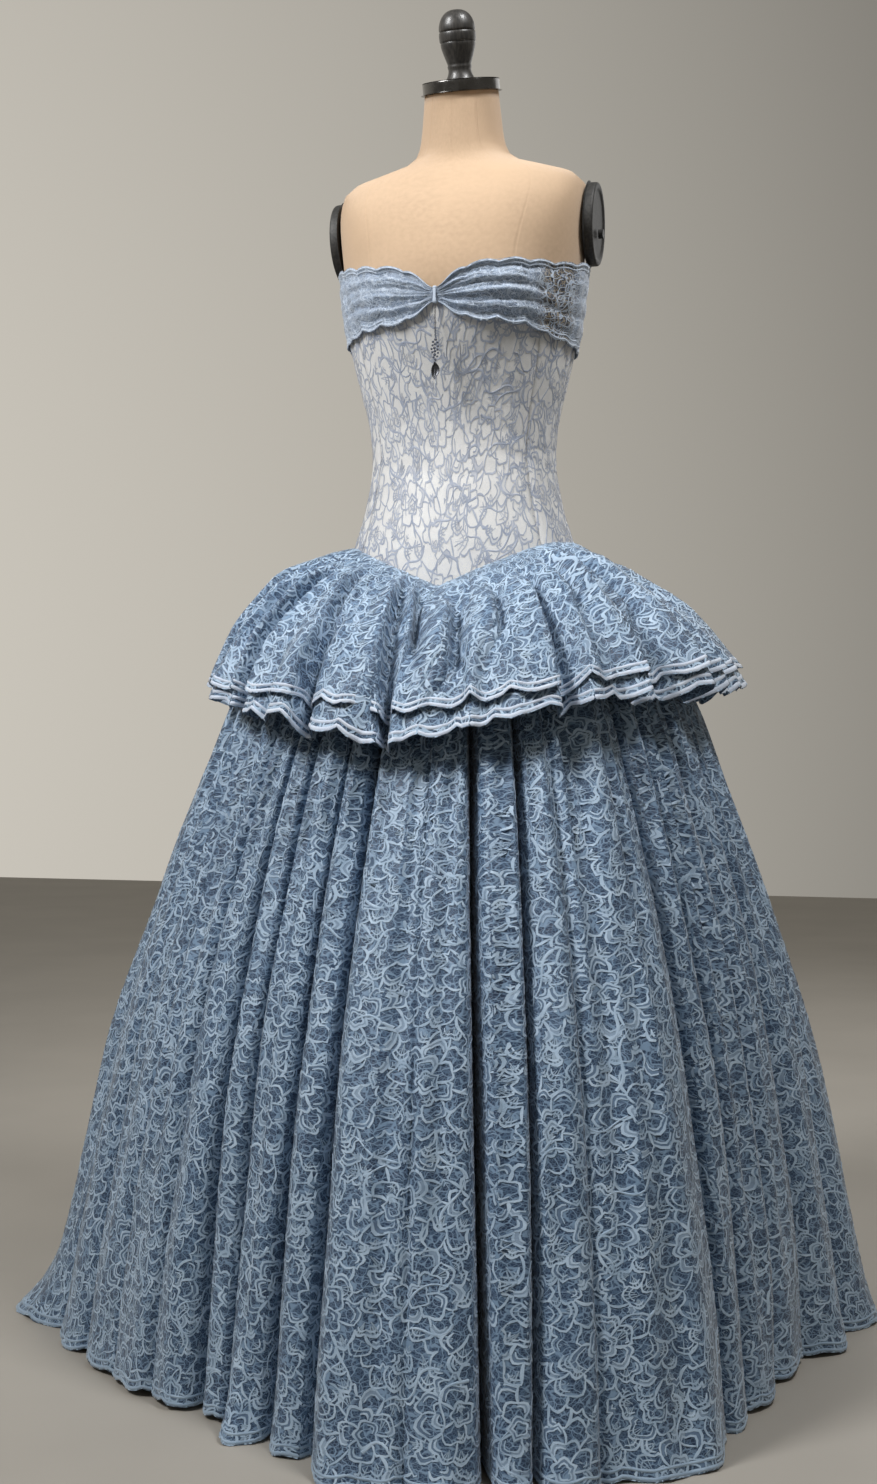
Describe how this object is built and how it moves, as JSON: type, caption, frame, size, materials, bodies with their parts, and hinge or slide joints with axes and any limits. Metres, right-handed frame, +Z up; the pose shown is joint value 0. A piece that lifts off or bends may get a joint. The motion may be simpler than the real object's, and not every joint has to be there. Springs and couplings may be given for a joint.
{
  "type": "strapless ball gown on a limbless dress form with a stand",
  "caption": "Strapless ball gown with a pointed bodice, gathered bust band, layered peplum and full folded skirt, worn by a limbless dress form on a round base.",
  "frame": {"origin": "centre of the stand base's underside, on the floor", "axes": "+Z is up, the gown faces -Y and +X is the wearer's left"},
  "size_m": [1.0415, 1.0399, 1.6031],
  "materials": {
    "blue_lace": "pale blue corded floral lace over mid-blue satin",
    "white_lace": "grey-blue corded floral lace over off-white satin",
    "band_lace": "ruched blue lace",
    "linen": "plain beige linen drawn tight over a hard torso",
    "dark_wood": "dark stained turned wood",
    "dark_metal": "dark satin",
    "steel": "darkened steel",
    "iron": "black enamelled iron"
  },
  "bodies": {
    "root": {"bodice_front": "white_lace", "bodice_side_front_left": "white_lace", "bodice_side_front_right": "white_lace", "bodice_side_back_left": "white_lace", "bodice_side_back_right": "white_lace", "bodice_back_left": "white_lace", "bodice_back_right": "white_lace", "bust_band": "band_lace", "gather_loop": "band_lace", "skirt_front_centre": "blue_lace", "skirt_front_left": "blue_lace", "skirt_front_right": "blue_lace", "skirt_back_left": "blue_lace", "skirt_back_right": "blue_lace", "peplum_upper": "blue_lace", "peplum_lower": "blue_lace", "zip_chain": "steel", "zip_slider": "steel", "form_torso": "linen", "neck_cap": "dark_metal", "neck_finial": "dark_wood", "arm_plate_left": "dark_metal", "arm_plate_right": "dark_metal", "arm_screw_left": "steel", "arm_screw_right": "steel", "stand_pole": "iron", "stand_base": "iron"},
    "pendant": {"pendant_chain": "steel", "pendant_charm": "steel"},
    "pull_tab": {"zip_pull_tab": "steel"}
  },
  "joints": [
    {"name": "pendant_swing", "type": "hinge", "parent": "root", "child": "pendant", "pos_m": [0, -0.12737, 1.2212], "axis": [0, 1, 0], "range_deg": [-30, 30]},
    {"name": "pull_tab_lift", "type": "hinge", "parent": "root", "child": "pull_tab", "pos_m": [0, 0.11663, 1.2785], "axis": [1, 0, 0], "range_deg": [0, 150]}
  ]
}
